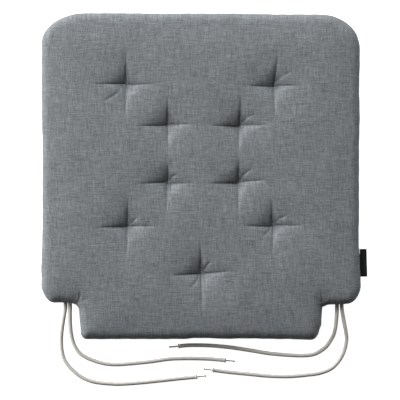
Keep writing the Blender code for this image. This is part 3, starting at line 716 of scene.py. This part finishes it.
def settled(points, quads, distance, top):
    """How far a short cloth simulation with air pressure inside lifts the top cover between its tufts."""
    low = np.full(len(points), SEAM_Z - 0.004)
    low[distance < SWELL_EDGE] = SEAM_Z - 0.001
    high = np.maximum(top, SEAM_Z + 0.001)
    rim = open_sides(quads)
    count = len(points)
    faces = np.concatenate([quads, quads[:, ::-1] + count, np.column_stack([rim[:, ::-1], rim + count])])
    form = mesh_object("swelling_form", np.concatenate([np.column_stack([points, high]),
                                                        np.column_stack([points, low])]), faces, FIBRE)
    remesh = form.modifiers.new("voxels", "REMESH")
    remesh.mode = "VOXEL"
    remesh.voxel_size = SWELL_VOXEL
    depsgraph = bpy.context.evaluated_depsgraph_get()
    coarse = bpy.data.meshes.new_from_object(form.evaluated_get(depsgraph))
    form.modifiers.clear()
    form.data = coarse
    start = np.array([vertex.co[:] for vertex in coarse.vertices])
    gap, _ = nearest_edge(start[:, :2], points[rim[:, 0]], points[rim[:, 1]])
    by_tuft = np.min([np.linalg.norm(start[:, :2] - place, axis=1) for place in np.array(TUFTS)], axis=0)
    held = (gap < SWELL_EDGE) | (by_tuft < SWELL_TUFT) | (start[:, 2] < SEAM_Z)
    form.vertex_groups.new(name="held").add([int(index) for index in np.flatnonzero(held)], 1.0, "ADD")
    cloth = form.modifiers.new("swell", "CLOTH")
    cloth.settings.quality = 5
    cloth.settings.mass = 0.2
    cloth.settings.tension_stiffness = 25
    cloth.settings.compression_stiffness = 25
    cloth.settings.bending_stiffness = 1.5
    cloth.settings.vertex_group_mass = "held"
    cloth.settings.use_pressure = True
    cloth.settings.uniform_pressure_force = 4
    cloth.settings.effector_weights.gravity = 0
    for frame_number in range(1, SWELL_FRAMES + 1):
        bpy.context.scene.frame_set(frame_number)
    swollen = form.evaluated_get(bpy.context.evaluated_depsgraph_get()).to_mesh()
    moved = np.array([vertex.co[:] for vertex in swollen.vertices]) - start
    bpy.data.objects.remove(form)
    bpy.context.scene.frame_set(1)
    upper = np.flatnonzero(start[:, 2] > SEAM_Z + 0.001)
    tree = KDTree(len(upper))
    for number, index in enumerate(upper):
        tree.insert(Vector((*start[index, :2], 0.0)), number)
    tree.balance()
    lift = np.clip(moved[upper, 2], -SWELL, SWELL)
    raised = []
    for x, y in points:
        near = tree.find_n(Vector((x, y, 0.0)), 8)
        weights = np.array([math.exp(-(gap / SWELL_BLEND) ** 2) + 1e-9 for _, _, gap in near])
        raised.append(float(weights @ lift[[number for _, number, _ in near]] / weights.sum()))
    return np.array(raised)


def bottom_pull(points):
    """How far the tufts pull the bottom cover up."""
    away = [np.linalg.norm(points - np.array(place), axis=1) for place in TUFTS]
    return BOTTOM_PULL * np.exp(-np.min(away, axis=0) / BOTTOM_REACH)


def mouth_drop(points, distance):
    """How far the bottom cover's edge hangs open round the ties."""
    drop = np.zeros(len(points))
    for side in ("left", "right"):
        roots = [ROUTES[f"tie_{side}_{place}"][0][0] for place in ("outer", "inner")]
        middle, half = sum(roots) / 2, abs(roots[0] - roots[1]) / 2 + CORD_RADIUS + MOUTH_ROOM
        share = np.clip(1 - (np.abs(points[:, 0] - middle) - half) / MOUTH_FADE, 0, 1)
        share = share * share * (3 - 2 * share)
        near = (points[:, 1] < SHOULDER_Y + EDGE_ROLL) & (distance < EDGE_ROLL)
        drop += share * near
    return drop * (SEAM_Z - CORD_Z + CORD_RADIUS + MOUTH_ROOM)


def open_sides(quads):
    """The directed sides that only one quad has, as rows of two point numbers."""
    sides = np.concatenate([quads[:, [k, (k + 1) % 4]] for k in range(4)])
    sides = sides[sides[:, 0] != sides[:, 1]]
    _, index, times = np.unique(np.sort(sides, axis=1), axis=0, return_inverse=True, return_counts=True)
    return sides[times[index.reshape(-1)] == 1]


def puckers(points, nearest, distance):
    """Small ripples that the seam gathers into the cover beside it."""
    wave = uneven(nearest, 95, 2.0) + 0.6 * uneven(nearest, 190, 6.0)
    return PUCKER * wave * np.exp(-((distance - 0.005) ** 2) / 0.005**2)


def make_cover(name, side, plan):
    """One side's cover: its edge rolls from the seam to a crowned, tufted top or a flat underside."""
    points, quads, distance, nearest = plan
    face = face_share(distance)
    rise = puckers(points, nearest, distance)
    rise += face * (0.0004 * uneven(points, 22, 1.0 + side) + 0.0002 * uneven(points, 60, 5.0 + side))
    if side > 0:
        rise += roll_height(distance, points[:, 0])
        rise += settled(points, quads, distance, SEAM_Z + rise - top_hollows(points) * face)
        rise -= top_pull(points) * face
    else:
        rise = np.minimum(rise + roll_height(distance), SEAM_Z - FLOOR_GAP)
        rise = np.maximum(rise, mouth_drop(points, distance))
        rise -= bottom_pull(points) * face
    height = SEAM_Z + side * (SEAM_GAP + np.maximum(rise, 0))
    faces = quads if side > 0 else quads[:, ::-1]
    cover = mesh_object(f"{name}_cover_cloth", np.column_stack([points, height]), faces, COVER_WEAVE)
    cloth = on_cloth(points, distance, nearest)
    store(cover, "weave_at", np.column_stack([cloth, np.full(len(points), 0.01 * side)]))
    shell = cover.modifiers.new("cloth", "SOLIDIFY")
    shell.thickness = CLOTH
    shell.offset = -1
    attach(cover, "pad")
    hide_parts(f"{name}_cover")
    return make_wadding(name, side, points, faces, distance, rise)


def make_wadding(name, side, points, faces, distance, rise):
    """The fibre between one cover and the foam. Gives the level at which the foam meets it."""
    outer = np.maximum(rise - CLOTH - WADDING_GAP, WADDING_GAP + WADDING_THIN)
    foam = abs(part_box("foam_core")[side > 0][2] - SEAM_Z)
    inner = np.where(distance < WADDING_WRAP, WADDING_GAP, foam)
    inner = np.minimum(inner, outer - WADDING_THIN)
    by_tie = (mouth_drop(points, distance) > 0) & (distance < SHOULDER_Y - CORD_ROOT_Y + 0.012)
    kept = (distance > WADDING_INSET) & ~by_tie
    levels = [SEAM_Z + side * (SEAM_GAP + level) for level in (outer, inner)]
    fill_between(f"wadding_{name}_fibre", points, faces[kept[faces].all(axis=1)], *levels,
                 f"wadding_{name}", FIBRE, "white_fibre")
    return levels[1] - side * WADDING_GAP


def fill_between(name, points, faces, outer, inner, node, look, slot):
    """A closed filling between two levels over the same faces."""
    rim = open_sides(faces)
    faces = np.concatenate([faces, faces[:, ::-1] + len(points),
                            np.column_stack([rim[:, ::-1], rim + len(points)])])
    levels = [np.column_stack([points, level]) for level in (outer, inner)]
    used, index = np.unique(faces, return_inverse=True)
    made = mesh_object(name, np.concatenate(levels)[used], index.reshape(faces.shape), look)
    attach(made, "pad")
    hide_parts(node)


def make_foam(plan, top, bottom):
    """The foam core between the two sheets of wadding."""
    points, quads, distance, _ = plan
    kept = (distance > WADDING_WRAP + 0.0002) & (top - bottom > WADDING_THIN)
    fill_between("foam_block", points, quads[kept[quads].all(axis=1)], top, bottom, "foam_core", FOAM,
                 "cream_foam")


def make_twine(number, place):
    """One tuft's twine: a loop of thread over the top cover, knotted with two tails underneath."""
    centre = np.array([place])
    top_z = SEAM_Z + SEAM_GAP + float(roll_height(0.1) - top_pull(centre)[0]) + 0.0004
    half = 0.0014
    knot_z = 0.0024
    loop = [(half + 0.0030, 0.0020, 0.0008), (half + 0.0010, 0.0008, 0.0014), (half, 0.0, knot_z),
            (half, 0.0, SEAM_Z * 0.6), (half, 0.0, top_z - 0.0008), (half * 0.6, 0.0, top_z),
            (-half * 0.6, 0.0, top_z), (-half, 0.0, top_z - 0.0008), (-half, 0.0, SEAM_Z * 0.6),
            (-half, 0.0, knot_z), (0.0, -0.0010, 0.0014), (half, 0.0004, 0.0011),
            (0.0, 0.0014, 0.0014), (-half - 0.0010, -0.0006, 0.0012), (-half - 0.0034, -0.0022, 0.0008)]
    path = smooth_route([(x + place[0], y + place[1], z) for x, y, z in loop], 0.0002, 0.0005)

    def radius_at(angle, run):
        return 0.00042 + 0.00006 * np.abs(np.sin(angle + 2 * np.pi * run / 0.0018))

    twine, _, _ = swept(f"tuft_stitch_{number}", path, radius_at, 12, THREAD)
    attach(twine, "pad")
    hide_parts(f"tuft_twine_{number}")


# ---------------------------------------------------------------- ties

BRAID_STRANDS = 8
BRAID_TURN = 0.013
BRAID_RELIEF = 0.00032


def braid_rise(angle, run):
    """The braid's surface, 0 in the gaps to 1 on a strand's crown: strands pass over and under."""
    lead = 2 * np.pi * run / BRAID_TURN
    first = BRAID_STRANDS * (angle + lead) / 2
    second = BRAID_STRANDS * (angle - lead) / 2
    over = np.tanh(2.5 * np.sin(first) * np.sin(second))
    crown_first = np.sqrt(np.abs(np.cos(first))) * (0.78 + 0.22 * over)
    crown_second = np.sqrt(np.abs(np.cos(second))) * (0.78 - 0.22 * over)
    return np.maximum(crown_first, crown_second)


def make_tie(name, route):
    """One strand: its braid, the collar on its end and the core that stands out of the collar."""
    path = smooth_route(route, 0.0004)

    def radius_at(angle, run):
        return CORD_RADIUS + BRAID_RELIEF * (braid_rise(angle, run) - 0.75)

    tie, angles, run = swept(f"{name}_braid", path, radius_at, 48, BRAID)
    # The rise also paints shade into the braid's colour: darker in the gaps between strands
    store(tie, "rise", braid_rise(angles[None, :], run[:, None]).ravel())
    wide = np.repeat(angles[None, :] * CORD_RADIUS, len(run), axis=0)
    long = np.repeat(run[:, None], len(angles), axis=1)
    store(tie, "strand", np.stack([long, wide, np.zeros_like(long)], axis=-1).reshape(-1, 3))
    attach(tie, "pad")
    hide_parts(name)

    end = Vector(path[-1])
    way = (end - Vector(path[-12])).normalized()
    way.z = 0
    seat = Vector((end.x, end.y, COLLAR_RADIUS)) + way * 0.0003
    collar_path = [seat + way * COLLAR_LENGTH * step / 24 for step in range(25)]

    def collar_radius(angle, run):
        share = run / COLLAR_LENGTH
        flare = 0.86 + 0.14 * np.sin(np.pi * np.clip(share * 1.15, 0, 1)) ** 0.5
        rib = 0.035 * np.abs(np.sin(share * np.pi * 5 + angle / 2))
        return COLLAR_RADIUS * (flare - 0.035 + rib)

    collar, _, _ = swept(f"{name}_collar", collar_path, collar_radius, 32, COLLAR)
    core_start = seat + way * (COLLAR_LENGTH + 0.0002)
    drop = Vector((0, 0, COLLAR_RADIUS - BEAD_RADIUS - 0.0001))
    core_path = [core_start + way * CORE_LENGTH * s - drop * s**1.6 for s in np.linspace(0, 1, 60)]

    def core_radius(angle, run):
        share = run / CORE_LENGTH
        twist = 0.12 * np.abs(np.sin(angle + 2 * np.pi * run / 0.0024))
        from_end = CORE_LENGTH - BEAD_RADIUS - run
        bead = np.sqrt(np.clip(1 - (from_end / BEAD_RADIUS) ** 2, 0, 1)) * BEAD_RADIUS
        return np.maximum(CORE_RADIUS * (0.9 + twist) * (share < 0.97), np.maximum(bead, 0.0002))

    core, _, _ = swept(f"{name}_core", core_path, core_radius, 24, CORE)
    for piece, node, slot in ((collar, "collar", "cord_collar"), (core, "core", "cord_core")):
        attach(piece, "pad")
        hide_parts(name.replace("tie", f"tie_{node}"))


# ---------------------------------------------------------------- label

def make_label():
    """A folded tape: two plies from the seam, joined by a soft round fold at the outer end."""
    low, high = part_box("side_label")
    middle_z = (low[2] + high[2]) / 2
    root, tip = low[0] + 0.00005, high[0]
    ply, swell = 0.00022, 0.00062
    upper = []
    for share in np.linspace(0, 1, 28):
        x = root + (tip - root) * share
        gape = ply + (swell - ply) * math.sin(math.pi * min(share * 0.62, 1)) ** 2
        if share > 0.86:
            gape *= math.sqrt(max(0.0, 1 - ((share - 0.86) / 0.14) ** 2))
        upper.append((x, gape))
    loop = upper + [(x, -gape) for x, gape in reversed(upper[:-1])]
    rows = 60
    points, faces = [], []
    for row in range(rows + 1):
        y = low[1] + (high[1] - low[1]) * row / rows
        for x, z in loop:
            share = (x - root) / (tip - root)
            lift = 0.0005 * share**2 * math.sin(2.2 * math.pi * row / rows + 0.6)
            slant = share * 0.0004 * (1 - 2 * row / rows)
            points.append((x + slant, y, middle_z + z + lift))
    count = len(loop)
    for row in range(rows):
        for k in range(count):
            a, b = row * count + k, row * count + (k + 1) % count
            faces.append((a, b, b + count, a + count))
    faces.append(tuple(range(count))[::-1])
    faces.append(tuple(rows * count + k for k in range(count)))
    label = mesh_object("label_tape", points, faces, TAPE)
    label.data.set_sharp_from_angle(angle=1.0)
    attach(label, "label")
    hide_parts("side_label")


# ---------------------------------------------------------------- stage

TOP_LIGHT = 3.42
LAMP_AWAY = 3.4


def make_stage():
    """A white floor, soft boxes low round the front and the sides, and the camera straight above."""
    bpy.ops.mesh.primitive_plane_add(size=12)
    floor = bpy.context.object
    floor.name = "floor"
    nodes = Nodes("pale_floor")
    nodes.shader.inputs["Base Color"].default_value = (0.9, 0.9, 0.9, 1)
    nodes.shader.inputs["Roughness"].default_value = 0.9
    nodes.shader.inputs["Emission Color"].default_value = (1, 1, 1, 1)
    nodes.shader.inputs["Emission Strength"].default_value = 0.95
    floor.data.materials.append(nodes.material)
    floor.visible_diffuse = False

    world = bpy.data.worlds.new("studio")
    bpy.context.scene.world = world
    world.use_nodes = True
    world.node_tree.nodes["Background"].inputs["Color"].default_value = (1, 1, 1, 1)
    world.node_tree.nodes["Background"].inputs["Strength"].default_value = 0.085

    def lamp(name, turn, climb, size, share):
        """A soft box turned from the front edge towards +X, giving its share of the top's light."""
        turn, climb = math.radians(turn), math.radians(climb)
        way = Vector((math.sin(turn) * math.cos(climb), math.cos(turn) * math.cos(climb), math.sin(climb)))
        light = bpy.data.lights.new(name, "AREA")
        light.shape = "RECTANGLE"
        light.size, light.size_y = size
        light.energy = share * TOP_LIGHT * math.pi * LAMP_AWAY**2 / math.sin(climb)
        made = bpy.data.objects.new(name, light)
        made.location = way * LAMP_AWAY
        made.rotation_euler = (-way).to_track_quat("-Z", "Y").to_euler()
        bpy.context.scene.collection.objects.link(made)

    lamp("key", -36, 33, (3.4, 1.05), 0.66)
    lamp("low_left", -76, 10, (2.1, 0.5), 0.16)
    lamp("low_front", -5, 12, (2.1, 0.65), 0.07)
    lamp("low_right", 64, 10, (1.05, 0.65), 0.055)

    camera = bpy.data.cameras.new("camera")
    camera.sensor_width = 36
    across, away = 0.5048, 4.0
    camera.lens = camera.sensor_width * away / across
    camera.clip_end = 50
    seen = bpy.data.objects.new("camera", camera)
    seen.location = (-0.0008, -0.0303, away + SEAM_Z)
    bpy.context.scene.collection.objects.link(seen)
    bpy.context.scene.camera = seen
    bpy.context.scene.view_settings.view_transform = "Standard"


def finish_cad_nodes():
    """Materials for the CAD nodes that stay as they are."""
    looks = {"edge_seam_thread": THREAD, "tie_tack_left": THREAD,
             "tie_tack_right": THREAD, "label_tail": TAPE}
    for node, look in looks.items():
        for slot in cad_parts[node].material_slots:
            slot.material = look


make_stage()
for NAME, ROUTE in ROUTES.items():
    make_tie(NAME, ROUTE)
PLAN = cover_plan()
make_foam(PLAN, make_cover("top", 1, PLAN), make_cover("bottom", -1, PLAN))
for NUMBER, PLACE in enumerate(TUFTS, 1):
    make_twine(NUMBER, PLACE)
make_label()
finish_cad_nodes()
